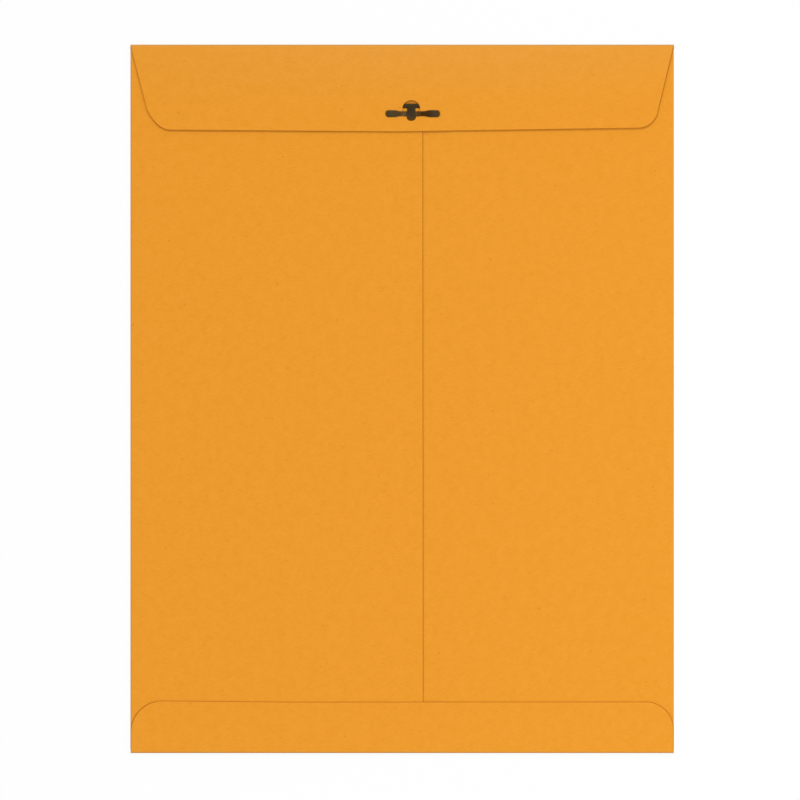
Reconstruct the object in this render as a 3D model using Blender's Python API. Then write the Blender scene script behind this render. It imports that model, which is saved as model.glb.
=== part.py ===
"""Clasp envelope, lying on its front with the clasp side up.

Metres, +Z up. The origin is under the middle of the envelope, on the surface it lies on: X runs across
the envelope, Y up towards the seal flap's fold. The paper is one folded sheet, shown as its panels and
creases. The seal flap hinges on its crease, and each clasp prong on its bend.
"""

import math

import bmesh
import bpy
from mathutils import Matrix, Vector

MM = 0.001

# Paper body
BODY_WIDTH = 253.76 * MM  # across the side folds
BODY_HEIGHT = 330.85 * MM  # from the bottom fold to the flap's fold
PAPER = 0.15 * MM
POCKET_DEPTH = 1.0 * MM  # room inside, between the front panel and the back panels
FLAP_OVERHANG = 0.06 * MM  # of the seal flap past each side fold
BOTTOM_FLAP_INSET = 0.12 * MM  # of the bottom flap in from the outside of each side fold

# Back panels
SEAM_X_TOP = 9.66 * MM  # the left panel's free edge, right of the middle
SEAM_X_BOTTOM = 9.92 * MM
SEAM_OVERLAP = 22.0 * MM  # of the left panel over the right one
THROAT_DEPTH = 9.5 * MM  # from the top of the envelope down to the pocket's mouth
SHOULDER_RUN = 24.0 * MM  # how far in from a side fold the mouth's edge slopes down
SHOULDER_ROUND = 8.0 * MM

# Seal flap, measured down from the top of the envelope and in from the flap's ends there
FLAP_DEPTH = 40.75 * MM  # at the point of its shallow V
FLAP_POINT_X = -2.3 * MM  # the point of the V, left of the middle
FLAP_V_LEFT = 0.82 * MM  # how much less deep it is at its corners
FLAP_V_RIGHT = 1.82 * MM
FLAP_INSET_LEFT = 10.29 * MM
FLAP_INSET_RIGHT = 9.39 * MM
FLAP_CORNER_RIGHT = 8.9 * MM
FLAP_CORNER_LEFT = 8.0 * MM  # the left corner is cut aslant, and rounded below the cut and above it
FLAP_CORNER_LEFT_ABOVE = 14.0 * MM
FLAP_CUT_BELOW = 5.0 * MM  # from the sharp corner along the lower edge
FLAP_CUT_ABOVE = 6.9 * MM  # and up the side

# Bottom flap, measured up from the bottom of the envelope
BOTTOM_FLAP_DEPTH = 23.88 * MM  # where its upper edge turns
BOTTOM_FLAP_TURN_X = -51.0 * MM
BOTTOM_FLAP_RISE_LEFT = 0.7 * MM  # how much deeper it is at its corners
BOTTOM_FLAP_RISE_RIGHT = 0.12 * MM
BOTTOM_FLAP_CORNER_LEFT = 14.7 * MM
BOTTOM_FLAP_CORNER_RIGHT = 12.9 * MM

# Glue and gum
GLUE_FILM = 0.06 * MM
SEAM_GLUE_INSET = 1.5 * MM  # in from the edges of the overlap
FLAP_GLUE_INSET = 4.0 * MM  # in from the bottom flap's edges
GUM_FILM = 0.04 * MM
GUM_BAND = 20.0 * MM
GUM_INSET = 3.0 * MM  # in from the seal flap's edges
GUM_CLEAR_OF_CLASP = 18.0 * MM  # from the clasp's middle to the end of each band

# Clasp, placed by where its prongs' middle line crosses its stem
CLASP_X = 4.25 * MM  # right of the envelope's middle
CLASP_RISE = 8.45 * MM  # above the point of the seal flap's V
CLASP_METAL = 0.3 * MM
CROSS_BAR_WIDTH = 9.2 * MM
CROSS_BAR_HEIGHT = 2.1 * MM
CROSS_BAR_RISE = 2.6 * MM  # from the prongs' line to the bar's lower edge
TOOTH_BEND = 0.15 * MM  # inner radius where the bar turns down into a tooth, and at the clinch
STEM_WIDTH = 4.0 * MM
TAB_WIDTH = 5.0 * MM
TAB_DROP = 3.0 * MM  # from the prongs' lower edges to the tab's round end
TOOTH_TIP_GAP = 2.4 * MM  # between the ends of the teeth, turned in under the paper
PRONG_REACH_LEFT = 12.0 * MM  # from the clasp's middle to the tip
PRONG_REACH_RIGHT = 13.4 * MM
PRONG_ROOT_WIDTH = 2.3 * MM
PRONG_END_WIDTH = 3.25 * MM
PRONG_WAIST_END = 5.2 * MM  # from the clasp's middle to where a prong starts to widen
PRONG_WIDE_START = 8.2 * MM  # from the clasp's middle to where it has its full width
PRONG_END_ROUND = 1.3 * MM
PRONG_LEAD = 0.45 * MM  # level stretch at the bend, before the ramp
PRONG_RAMP = 1.0 * MM  # run over which a prong climbs out of the flap's hole

# Punched hole in the seal flap: a round-topped window with a round lobe below it
HOLE_TOP = 6.3 * MM  # above the prongs' line
HOLE_SHOULDER_ROUND = 0.9 * MM
LOBE_WIDTH = 4.5 * MM
LOBE_DROP = 1.95 * MM  # from the window's lower edge to the bottom of the lobe

# Patches, both about the clasp
PATCH_PAPER = 0.1 * MM
PATCH_ROUND = 3.0 * MM
HOLE_PATCH_WIDTH = 28.0 * MM
HOLE_PATCH_HEIGHT = 16.0 * MM
BACKING_WIDTH = 24.0 * MM
BACKING_HEIGHT = 16.0 * MM

# Clearances
LAYER_GAP = 0.03 * MM  # between layers that lie on each other
CREASE_GAP = 0.03 * MM  # between a panel's edge and the crease it runs into
PANEL_END_GAP = 1.0 * MM  # from a side panel's ends to the folds above and below it
SLIT_CLEARANCE = 0.1 * MM  # around a tooth in the paper
BEND_CLEARANCE = 0.1 * MM  # between a prong's root and the stem, and the tab below it
PRONG_CLEARANCE = 0.1 * MM  # between a folded prong and the flap
HOLE_END_CLEARANCE = 0.5 * MM  # from the top of a prong's ramp to the hole's side
HOLE_SIDE_CLEARANCE = 0.25 * MM  # from a prong's lower edge to the window's

ARC_STEPS = 10
CUT_MARGIN = 0.5 * MM  # how far a cutter runs past what it cuts
WELD = 0.0003 * MM  # points nearer than this are one
MARKER = 5.0 * MM  # drawn size of the empties on the joints' axes

KRAFT = "EB9B30"
GUM = "D08A2C"
GLUE = "E8D9B0"
PATCH = "D9A55A"
DARK_STEEL = "4A4032"
PAPER_ROUGHNESS = 0.8
GLUE_ROUGHNESS = 0.4
GUM_ROUGHNESS = 0.3
STEEL_ROUGHNESS = 0.4

# Undersides of the layers, from the surface up
RIGHT_PANEL_Z = PAPER + POCKET_DEPTH
SEAM_GLUE_Z = RIGHT_PANEL_Z + PAPER + LAYER_GAP
LEFT_PANEL_Z = SEAM_GLUE_Z + GLUE_FILM + LAYER_GAP
ON_BACK_Z = LEFT_PANEL_Z + PAPER + LAYER_GAP
BOTTOM_FLAP_Z = ON_BACK_Z + GLUE_FILM + LAYER_GAP
HOLE_PATCH_Z = ON_BACK_Z + CLASP_METAL + LAYER_GAP
SEAL_FLAP_Z = HOLE_PATCH_Z + PATCH_PAPER + LAYER_GAP
GUM_Z = SEAL_FLAP_Z - LAYER_GAP - GUM_FILM
PRONG_Z = SEAL_FLAP_Z + PAPER + PRONG_CLEARANCE
BACKING_Z = RIGHT_PANEL_Z - LAYER_GAP - PATCH_PAPER
CLINCH_Z = BACKING_Z - LAYER_GAP - CLASP_METAL


def fold_reach(layer_z):
    """Outer radius of the crease from the front panel up to a layer. Its axis is as high above the floor."""
    return (layer_z + PAPER) / 2


TOP = BODY_HEIGHT / 2
FLAP_WIDTH = BODY_WIDTH + 2 * FLAP_OVERHANG
BOTTOM_FLAP_WIDTH = BODY_WIDTH - 2 * BOTTOM_FLAP_INSET
LEFT_FOLD_X = -BODY_WIDTH / 2 + fold_reach(LEFT_PANEL_Z)
RIGHT_FOLD_X = BODY_WIDTH / 2 - fold_reach(RIGHT_PANEL_Z)
BOTTOM_FOLD_Y = -TOP + fold_reach(BOTTOM_FLAP_Z)
FLAP_FOLD_Y = TOP - fold_reach(SEAL_FLAP_Z)
PANEL_LOW = BOTTOM_FOLD_Y + PANEL_END_GAP
PANEL_HIGH = FLAP_FOLD_Y - PANEL_END_GAP
THROAT_Y = TOP - THROAT_DEPTH
CLASP_Y = TOP - FLAP_DEPTH + CLASP_RISE
STEM_MIDDLE_Z = ON_BACK_Z + CLASP_METAL / 2
PRONG_AXIS = STEM_WIDTH / 2 + CLASP_METAL / 2 + BEND_CLEARANCE  # out from the clasp's middle
RAMP_END = PRONG_AXIS + PRONG_LEAD + PRONG_RAMP
HOLE_WIDTH = 2 * (RAMP_END + HOLE_END_CLEARANCE)
HOLE_SHOULDER = PRONG_ROOT_WIDTH / 2 + HOLE_SIDE_CLEARANCE  # below the prongs' line
LOBE_REACH = HOLE_SHOULDER + LOBE_DROP


def seam_x(y):
    """The left panel's free edge at a height on the back."""
    share = (y - PANEL_LOW) / (THROAT_Y - PANEL_LOW)
    return SEAM_X_BOTTOM + share * (SEAM_X_TOP - SEAM_X_BOTTOM)


def linear(hex_colour):
    """sRGB hex as linear red, green, blue and alpha."""
    values = [int(hex_colour[i : i + 2], 16) / 255 for i in (0, 2, 4)]
    return [v / 12.92 if v <= 0.04045 else ((v + 0.055) / 1.055) ** 2.4 for v in values] + [1.0]


def arc(radius, start, end):
    """Points on a circle about the origin, angles in degrees."""
    angles = [math.radians(start + (end - start) * i / ARC_STEPS) for i in range(ARC_STEPS + 1)]
    return [Vector((radius * math.cos(a), radius * math.sin(a))) for a in angles]


def rounded(corners):
    """Closed outline through corners of x, y and radius, with an arc at each corner that has a radius."""
    points = []
    for i, (x, y, radius) in enumerate(corners):
        here = Vector((x, y))
        if radius <= 0:
            points.append(here)
            continue
        arriving = (here - Vector(corners[i - 1][:2])).normalized()
        leaving = (Vector(corners[(i + 1) % len(corners)][:2]) - here).normalized()
        turn = math.atan2(arriving.cross(leaving), arriving.dot(leaving))
        tangent = radius * math.tan(abs(turn) / 2)
        centre_side = Vector((-arriving.y, arriving.x)) * math.copysign(radius, turn)
        start = here - arriving * tangent
        for step in range(ARC_STEPS + 1):
            spoke = Matrix.Rotation(turn * step / ARC_STEPS, 2) @ -centre_side
            points.append(start + centre_side + spoke)
    return [p for i, p in enumerate(points) if (p - points[i - 1]).length > WELD]


def ribbon(path, thickness):
    """Closed outline of a strip of even thickness along a path of points."""
    steps = [(b - a).normalized() for a, b in zip(path, path[1:])]
    left, right = [], []
    for i, point in enumerate(path):
        before = steps[max(i - 1, 0)]
        after = steps[min(i, len(steps) - 1)]
        across = Vector((-before.y - after.y, before.x + after.x)).normalized()
        offset = across * (thickness / 2 / across.dot(Vector((-before.y, before.x))))
        left.append(point + offset)
        right.append(point - offset)
    return right + left[::-1]


def plate(name, outline, low, high, group, upright=None):
    """A flat outline made solid from low to high: along Z, or along Y or X for a profile that stands up."""
    curve = bpy.data.curves.new(name, "CURVE")
    curve.dimensions = "2D"
    curve.fill_mode = "BOTH"
    curve.extrude = (high - low) / 2
    spline = curve.splines.new("POLY")
    spline.points.add(len(outline) - 1)
    for point, place in zip(spline.points, outline):
        point.co = (place.x, place.y, 0, 1)
    spline.use_cyclic_u = True
    piece = bpy.data.objects.new(name, curve)
    middle = (low + high) / 2
    if upright == "along_y":
        piece.rotation_euler = (math.pi / 2, 0, 0)
        piece.location = (0, middle, 0)
    elif upright == "along_x":
        piece.rotation_euler = (math.pi / 2, 0, math.pi / 2)
        piece.location = (middle, 0, 0)
    else:
        piece.location = (0, 0, middle)
    group.objects.link(piece)
    return piece


def as_mesh(piece):
    """A plate as a closed mesh under the same name, which Boolean modifiers can take."""
    bpy.context.view_layer.update()
    graph = bpy.context.evaluated_depsgraph_get()
    mesh = bpy.data.meshes.new_from_object(piece.evaluated_get(graph))
    shape = bmesh.new()
    shape.from_mesh(mesh)
    bmesh.ops.remove_doubles(shape, verts=shape.verts, dist=WELD)
    bmesh.ops.recalc_face_normals(shape, faces=shape.faces)
    shape.to_mesh(mesh)
    shape.free()
    group = piece.users_collection[0]
    name = piece.name
    place = piece.matrix_world.copy()
    bpy.data.objects.remove(piece)
    mesh.name = name
    piece = bpy.data.objects.new(name, mesh)
    piece.matrix_world = place
    group.objects.link(piece)
    return piece


def helper(piece):
    """A plate as a mesh that only shapes other pieces."""
    piece = as_mesh(piece)
    piece.hide_render = True
    piece.display_type = "WIRE"
    return piece


def combine(piece, other, operation):
    modifier = piece.modifiers.new(f"{operation.lower()}_{other.name}", "BOOLEAN")
    modifier.operation = operation
    modifier.solver = "EXACT"
    modifier.object = other


def finish(piece, hex_colour, roughness, metallic=0.0):
    material = bpy.data.materials.new(f"{piece.name}_finish")
    material.use_nodes = True
    shader = material.node_tree.nodes["Principled BSDF"]
    shader.inputs["Base Color"].default_value = linear(hex_colour)
    shader.inputs["Roughness"].default_value = roughness
    shader.inputs["Metallic"].default_value = metallic
    material.diffuse_color = linear(hex_colour)
    piece.data.materials.append(material)


def empty(name, place, group):
    marker = bpy.data.objects.new(name, None)
    marker.location = place
    marker.empty_display_size = MARKER
    group.objects.link(marker)
    return marker


def hang(piece, parent):
    """Parents a piece to an empty without moving it."""
    piece.parent = parent
    piece.location -= parent.location


def front_panel(group):
    """The address side, face down, which carries the whole envelope."""
    left, right = LEFT_FOLD_X + CREASE_GAP, RIGHT_FOLD_X - CREASE_GAP
    low, high = BOTTOM_FOLD_Y + CREASE_GAP, FLAP_FOLD_Y - CREASE_GAP
    outline = rounded([(left, low, 0), (right, low, 0), (right, high, 0), (left, high, 0)])
    panel = plate("front_panel", outline, 0, PAPER, group)
    finish(panel, KRAFT, PAPER_ROUGHNESS)
    return panel


def crease(name, axis_across, layer_z, bulge, low, high, upright, group):
    """A half-round crease from the front panel up to a layer, bulging to the + or - side of its axis."""
    reach = fold_reach(layer_z)
    start, end = (-90, 90) if bulge > 0 else (270, 90)
    axis = Vector((axis_across, reach))
    outside = [axis + p for p in arc(reach, start, end)]
    inside = [axis + p for p in arc(reach - PAPER, end, start)]
    strip = plate(name, outside + inside, low, high, group, upright)
    finish(strip, KRAFT, PAPER_ROUGHNESS)
    return strip


def left_back_panel(group, slits):
    """The half of the back that lies on top at the seam, sloping down from its fold to the mouth."""
    fold = LEFT_FOLD_X + CREASE_GAP
    outline = rounded(
        [
            (fold, PANEL_LOW, 0),
            (seam_x(PANEL_LOW), PANEL_LOW, 0),
            (seam_x(THROAT_Y), THROAT_Y, 0),
            (fold + SHOULDER_RUN, THROAT_Y, SHOULDER_ROUND),
            (fold, PANEL_HIGH, 0),
        ]
    )
    panel = as_mesh(plate("left_back_panel", outline, LEFT_PANEL_Z, LEFT_PANEL_Z + PAPER, group))
    for slit in slits:
        combine(panel, slit, "DIFFERENCE")
    finish(panel, KRAFT, PAPER_ROUGHNESS)
    return panel


def right_back_panel(group, slits):
    """The half of the back that runs on under the left one."""
    fold = RIGHT_FOLD_X - CREASE_GAP
    outline = rounded(
        [
            (seam_x(PANEL_LOW) - SEAM_OVERLAP, PANEL_LOW, 0),
            (fold, PANEL_LOW, 0),
            (fold, PANEL_HIGH, 0),
            (fold - SHOULDER_RUN, THROAT_Y, SHOULDER_ROUND),
            (seam_x(THROAT_Y) - SEAM_OVERLAP, THROAT_Y, 0),
        ]
    )
    panel = as_mesh(plate("right_back_panel", outline, RIGHT_PANEL_Z, RIGHT_PANEL_Z + PAPER, group))
    for slit in slits:
        combine(panel, slit, "DIFFERENCE")
    finish(panel, KRAFT, PAPER_ROUGHNESS)
    return panel


def seam_glue(group, slits):
    """The glue line between the back panels, a little in from the edges of their overlap."""
    low, high = PANEL_LOW + SEAM_GLUE_INSET, THROAT_Y - SEAM_GLUE_INSET
    width = SEAM_OVERLAP - 2 * SEAM_GLUE_INSET
    outline = rounded(
        [
            (seam_x(low) - SEAM_GLUE_INSET - width, low, 0),
            (seam_x(low) - SEAM_GLUE_INSET, low, 0),
            (seam_x(high) - SEAM_GLUE_INSET, high, 0),
            (seam_x(high) - SEAM_GLUE_INSET - width, high, 0),
        ]
    )
    film = as_mesh(plate("seam_glue", outline, SEAM_GLUE_Z, SEAM_GLUE_Z + GLUE_FILM, group))
    for slit in slits:
        combine(film, slit, "DIFFERENCE")
    finish(film, GLUE, GLUE_ROUGHNESS)
    return film


def bottom_flap_outline(inset, low):
    """The bottom flap's shape drawn in by an inset at the sides and top, from low upwards."""
    side = BOTTOM_FLAP_WIDTH / 2 - inset
    turn = BOTTOM_FLAP_DEPTH - TOP - inset
    return rounded(
        [
            (-side, low, 0),
            (side, low, 0),
            (side, turn + BOTTOM_FLAP_RISE_RIGHT, BOTTOM_FLAP_CORNER_RIGHT - inset),
            (BOTTOM_FLAP_TURN_X, turn, 0),
            (-side, turn + BOTTOM_FLAP_RISE_LEFT, BOTTOM_FLAP_CORNER_LEFT - inset),
        ]
    )


def bottom_flap(group):
    outline = bottom_flap_outline(0, BOTTOM_FOLD_Y + CREASE_GAP)
    flap = plate("bottom_flap", outline, BOTTOM_FLAP_Z, BOTTOM_FLAP_Z + PAPER, group)
    finish(flap, KRAFT, PAPER_ROUGHNESS)
    return flap


def bottom_flap_glue(group):
    outline = bottom_flap_outline(FLAP_GLUE_INSET, PANEL_LOW)
    film = plate("bottom_flap_glue", outline, ON_BACK_Z, ON_BACK_Z + GLUE_FILM, group)
    finish(film, GLUE, GLUE_ROUGHNESS)
    return film


def flap_corner(side):
    """Where a side of the seal flap would meet its lower edge if the corner were sharp; side is -1 or 1."""
    inset, rise = (FLAP_INSET_LEFT, FLAP_V_LEFT) if side < 0 else (FLAP_INSET_RIGHT, FLAP_V_RIGHT)
    return Vector((side * (FLAP_WIDTH / 2 - inset), TOP - FLAP_DEPTH + rise))


def flap_side(side, y):
    """The seal flap's slanting side at a height."""
    corner = flap_corner(side)
    share = (TOP - y) / (TOP - corner.y)
    return side * FLAP_WIDTH / 2 + share * (corner.x - side * FLAP_WIDTH / 2)


def flap_edge(x):
    """The seal flap's lower edge, a shallow V."""
    corner = flap_corner(-1 if x < FLAP_POINT_X else 1)
    point = TOP - FLAP_DEPTH
    return point + (x - FLAP_POINT_X) / (corner.x - FLAP_POINT_X) * (corner.y - point)


def seal_flap(group, hole):
    """The flap that folds down over the mouth, cut as it lies closed."""
    root = FLAP_FOLD_Y - CREASE_GAP
    left, right = flap_corner(-1), flap_corner(1)
    side_top = Vector((flap_side(-1, root), root))
    point = Vector((FLAP_POINT_X, flap_edge(FLAP_POINT_X)))
    cut_above = left + (side_top - left).normalized() * FLAP_CUT_ABOVE
    cut_below = left + (point - left).normalized() * FLAP_CUT_BELOW
    outline = rounded(
        [
            (side_top.x, side_top.y, 0),
            (cut_above.x, cut_above.y, FLAP_CORNER_LEFT_ABOVE),
            (cut_below.x, cut_below.y, FLAP_CORNER_LEFT),
            (point.x, point.y, 0),
            (right.x, right.y, FLAP_CORNER_RIGHT),
            (flap_side(1, root), root, 0),
        ]
    )
    flap = as_mesh(plate("seal_flap", outline, SEAL_FLAP_Z, SEAL_FLAP_Z + PAPER, group))
    combine(flap, hole, "DIFFERENCE")
    finish(flap, KRAFT, PAPER_ROUGHNESS)
    return flap


def flap_gum(name, side, corner_round, group):
    """A band of dry gum on the inside of the flap, along its lower edge on one side of the hole."""
    outer = flap_corner(side) + Vector((-side * GUM_INSET, GUM_INSET))
    inner_x = CLASP_X + side * GUM_CLEAR_OF_CLASP
    inner_y = flap_edge(inner_x) + GUM_INSET
    high = outer.y + GUM_BAND
    outline = rounded(
        [
            (outer.x, outer.y, corner_round - GUM_INSET),
            (inner_x, inner_y, 0),
            (inner_x, inner_y + GUM_BAND, 0),
            (flap_side(side, high) - side * GUM_INSET, high, 0),
        ]
    )
    film = plate(name, outline, GUM_Z, GUM_Z + GUM_FILM, group)
    finish(film, GUM, GUM_ROUGHNESS)
    return film


def patch(name, width, height, middle, low, cutters, group):
    """A rounded paper patch about the clasp, with what passes through it cut out."""
    left, right = CLASP_X - width / 2, CLASP_X + width / 2
    bottom, top = middle - height / 2, middle + height / 2
    corners = [(left, bottom), (right, bottom), (right, top), (left, top)]
    outline = rounded([(x, y, PATCH_ROUND) for x, y in corners])
    piece = as_mesh(plate(name, outline, low, low + PATCH_PAPER, group))
    for cutter in cutters:
        combine(piece, cutter, "DIFFERENCE")
    finish(piece, PATCH, PAPER_ROUGHNESS)
    return piece


def hole_cutter(group):
    """The punch for the flap's hole, which the raised prongs pass through."""
    window, lobe = HOLE_WIDTH / 2, LOBE_WIDTH / 2
    top, shoulder, low = CLASP_Y + HOLE_TOP, CLASP_Y - HOLE_SHOULDER, CLASP_Y - LOBE_REACH
    outline = rounded(
        [
            (CLASP_X + window, top, window),
            (CLASP_X - window, top, window),
            (CLASP_X - window, shoulder, HOLE_SHOULDER_ROUND),
            (CLASP_X - lobe, shoulder, 0),
            (CLASP_X - lobe, low, min(lobe, LOBE_DROP)),
            (CLASP_X + lobe, low, min(lobe, LOBE_DROP)),
            (CLASP_X + lobe, shoulder, 0),
            (CLASP_X + window, shoulder, HOLE_SHOULDER_ROUND),
        ]
    )
    low_z, high_z = HOLE_PATCH_Z - CUT_MARGIN, SEAL_FLAP_Z + PAPER + CUT_MARGIN
    return helper(plate("flap_hole", outline, low_z, high_z, group))


def slit_cutter(name, side, group):
    """The slit that a tooth is pushed through, in every layer between the cross bar and the clinch."""
    middle = CLASP_X + side * (CROSS_BAR_WIDTH - CLASP_METAL) / 2
    half = CLASP_METAL / 2 + SLIT_CLEARANCE
    low = CLASP_Y + CROSS_BAR_RISE - SLIT_CLEARANCE
    high = CLASP_Y + CROSS_BAR_RISE + CROSS_BAR_HEIGHT + SLIT_CLEARANCE
    corners = [(middle - half, low), (middle + half, low), (middle + half, high), (middle - half, high)]
    outline = rounded([(x, y, 0) for x, y in corners])
    return helper(plate(name, outline, CLINCH_Z, ON_BACK_Z + CLASP_METAL, group))


def clasp_base(group, cutters):
    """The stamped plate: a cross bar with its ends turned down as clinched teeth, and a round-ended stem."""
    half, inside = CROSS_BAR_WIDTH / 2, CROSS_BAR_WIDTH / 2 - CLASP_METAL
    tip = TOOTH_TIP_GAP / 2
    under, over = ON_BACK_Z, ON_BACK_Z + CLASP_METAL
    clinch_low, clinch_high = CLINCH_Z, CLINCH_Z + CLASP_METAL
    bend = TOOTH_BEND
    outer_bend = TOOTH_BEND + CLASP_METAL
    profile = [
        (-tip, clinch_low, 0),
        (-tip, clinch_high, 0),
        (-inside, clinch_high, bend),
        (-inside, under, bend),
        (inside, under, bend),
        (inside, clinch_high, bend),
        (tip, clinch_high, 0),
        (tip, clinch_low, 0),
        (half, clinch_low, outer_bend),
        (half, over, outer_bend),
        (-half, over, outer_bend),
        (-half, clinch_low, outer_bend),
    ]
    outline = rounded([(CLASP_X + x, z, radius) for x, z, radius in profile])
    low = CLASP_Y + CROSS_BAR_RISE
    high = low + CROSS_BAR_HEIGHT
    base = as_mesh(plate("clasp_base", outline, low, high, group, "along_y"))
    stem, tab = STEM_WIDTH / 2, TAB_WIDTH / 2
    top = low + CROSS_BAR_HEIGHT / 2
    prong_edge = CLASP_Y - PRONG_ROOT_WIDTH / 2
    tab_top, end = prong_edge - BEND_CLEARANCE, prong_edge - TAB_DROP
    corners = [
        (CLASP_X - tab, end, min(tab, tab_top - end)),
        (CLASP_X + tab, end, min(tab, tab_top - end)),
        (CLASP_X + tab, tab_top, 0),
        (CLASP_X + stem, tab_top, 0),
        (CLASP_X + stem, top, 0),
        (CLASP_X - stem, top, 0),
        (CLASP_X - stem, tab_top, 0),
        (CLASP_X - tab, tab_top, 0),
    ]
    combine(base, helper(plate("clasp_stem", rounded(corners), under, over, cutters)), "UNION")
    finish(base, DARK_STEEL, STEEL_ROUGHNESS, metallic=1.0)
    return base


def clasp_prong(name, side, reach, group, cutters):
    """A prong that climbs from its bend out of the hole and lies out over the flap; side is -1 or 1."""
    axis = Vector((PRONG_AXIS, STEM_MIDDLE_Z))
    level = PRONG_Z + CLASP_METAL / 2
    path = [
        axis,
        axis + Vector((PRONG_LEAD, 0)),
        Vector((RAMP_END, level)),
        Vector((reach + CUT_MARGIN, level)),
    ]
    path = [Vector((CLASP_X + side * p.x, p.y)) for p in path]
    spare = PRONG_END_WIDTH / 2 + CUT_MARGIN
    profile = ribbon(path, CLASP_METAL)
    prong = as_mesh(plate(name, profile, CLASP_Y - spare, CLASP_Y + spare, group, "along_y"))
    root, end = PRONG_ROOT_WIDTH / 2, PRONG_END_WIDTH / 2
    corners = [
        (PRONG_AXIS - CUT_MARGIN, -root, 0),
        (PRONG_WAIST_END, -root, 0),
        (PRONG_WIDE_START, -end, 0),
        (reach, -end, PRONG_END_ROUND),
        (reach, end, PRONG_END_ROUND),
        (PRONG_WIDE_START, end, 0),
        (PRONG_WAIST_END, root, 0),
        (PRONG_AXIS - CUT_MARGIN, root, 0),
    ]
    outline = rounded([(CLASP_X + side * x, CLASP_Y + y, radius) for x, y, radius in corners])
    blank = plate(f"{name}_blank", outline, ON_BACK_Z - CUT_MARGIN, level + CUT_MARGIN, cutters)
    combine(prong, helper(blank), "INTERSECT")
    finish(prong, DARK_STEEL, STEEL_ROUGHNESS, metallic=1.0)
    return prong


def build():
    for old in list(bpy.data.objects):
        bpy.data.objects.remove(old)
    parts = bpy.data.collections.new("clasp_envelope")
    cutters = bpy.data.collections.new("cutters")
    for group in (parts, cutters):
        bpy.context.scene.collection.children.link(group)

    slits = [slit_cutter(f"tooth_slit_{name}", side, cutters) for name, side in (("left", -1), ("right", 1))]
    hole = hole_cutter(cutters)
    half_flap, half_bottom = FLAP_WIDTH / 2, BOTTOM_FLAP_WIDTH / 2

    envelope = empty("envelope", (0, 0, 0), parts)
    for piece in (
        front_panel(parts),
        crease("left_side_fold", LEFT_FOLD_X, LEFT_PANEL_Z, -1, PANEL_LOW, PANEL_HIGH, "along_y", parts),
        crease("right_side_fold", RIGHT_FOLD_X, RIGHT_PANEL_Z, 1, PANEL_LOW, PANEL_HIGH, "along_y", parts),
        crease("bottom_fold", BOTTOM_FOLD_Y, BOTTOM_FLAP_Z, -1, -half_bottom, half_bottom, "along_x", parts),
        crease("flap_fold", FLAP_FOLD_Y, SEAL_FLAP_Z, 1, -half_flap, half_flap, "along_x", parts),
        left_back_panel(parts, slits),
        right_back_panel(parts, slits),
        seam_glue(parts, slits),
        bottom_flap(parts),
        bottom_flap_glue(parts),
        clasp_base(parts, cutters),
        patch(
            "clasp_backing_patch",
            BACKING_WIDTH,
            BACKING_HEIGHT,
            CLASP_Y + CROSS_BAR_RISE,
            BACKING_Z,
            slits,
            parts,
        ),
    ):
        hang(piece, envelope)

    flap_hinge = empty("flap_hinge", (0, TOP, fold_reach(SEAL_FLAP_Z)), parts)
    for piece in (
        seal_flap(parts, hole),
        flap_gum("flap_gum_left", -1, FLAP_CORNER_LEFT, parts),
        flap_gum("flap_gum_right", 1, FLAP_CORNER_RIGHT, parts),
        patch(
            "flap_hole_patch",
            HOLE_PATCH_WIDTH,
            HOLE_PATCH_HEIGHT,
            CLASP_Y + (HOLE_TOP - LOBE_REACH) / 2,
            HOLE_PATCH_Z,
            [hole],
            parts,
        ),
    ):
        hang(piece, flap_hinge)

    for name, side, reach in (("left", -1, PRONG_REACH_LEFT), ("right", 1, PRONG_REACH_RIGHT)):
        bend = empty(f"prong_bend_{name}", (CLASP_X + side * PRONG_AXIS, CLASP_Y, STEM_MIDDLE_Z), parts)
        hang(clasp_prong(f"clasp_prong_{name}", side, reach, parts, cutters), bend)


build()
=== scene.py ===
"""Looks of the clasp envelope: kraft paper cut flat and folded, gum, paste and a plated steel clasp."""

import math

import bmesh
import bpy
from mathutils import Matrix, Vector
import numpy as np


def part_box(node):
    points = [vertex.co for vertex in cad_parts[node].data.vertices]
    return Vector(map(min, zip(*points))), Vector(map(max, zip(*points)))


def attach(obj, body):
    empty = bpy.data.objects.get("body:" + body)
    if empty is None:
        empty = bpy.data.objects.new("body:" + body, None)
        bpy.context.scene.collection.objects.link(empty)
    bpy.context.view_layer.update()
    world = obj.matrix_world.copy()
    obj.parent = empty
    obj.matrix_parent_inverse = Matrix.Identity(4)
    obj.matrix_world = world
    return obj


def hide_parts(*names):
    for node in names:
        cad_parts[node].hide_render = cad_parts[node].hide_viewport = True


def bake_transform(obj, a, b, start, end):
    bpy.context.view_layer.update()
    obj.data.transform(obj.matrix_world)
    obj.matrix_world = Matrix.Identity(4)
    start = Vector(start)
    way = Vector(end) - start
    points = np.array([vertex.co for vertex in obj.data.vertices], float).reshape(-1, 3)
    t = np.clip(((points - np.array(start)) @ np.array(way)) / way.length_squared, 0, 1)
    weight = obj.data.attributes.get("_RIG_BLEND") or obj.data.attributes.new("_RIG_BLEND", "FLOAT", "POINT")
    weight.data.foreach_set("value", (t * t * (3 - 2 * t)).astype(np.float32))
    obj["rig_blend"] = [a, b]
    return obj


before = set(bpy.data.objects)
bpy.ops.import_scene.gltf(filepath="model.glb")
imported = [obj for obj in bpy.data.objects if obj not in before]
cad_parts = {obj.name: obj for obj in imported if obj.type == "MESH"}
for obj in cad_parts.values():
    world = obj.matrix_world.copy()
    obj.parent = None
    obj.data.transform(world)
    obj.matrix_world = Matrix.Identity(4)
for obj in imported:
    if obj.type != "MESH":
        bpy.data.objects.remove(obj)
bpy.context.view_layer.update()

MM = 0.001
WELD = 0.005 * MM  # points nearer than this are one
NEAR = 0.001 * MM  # slack where two places are compared
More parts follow.
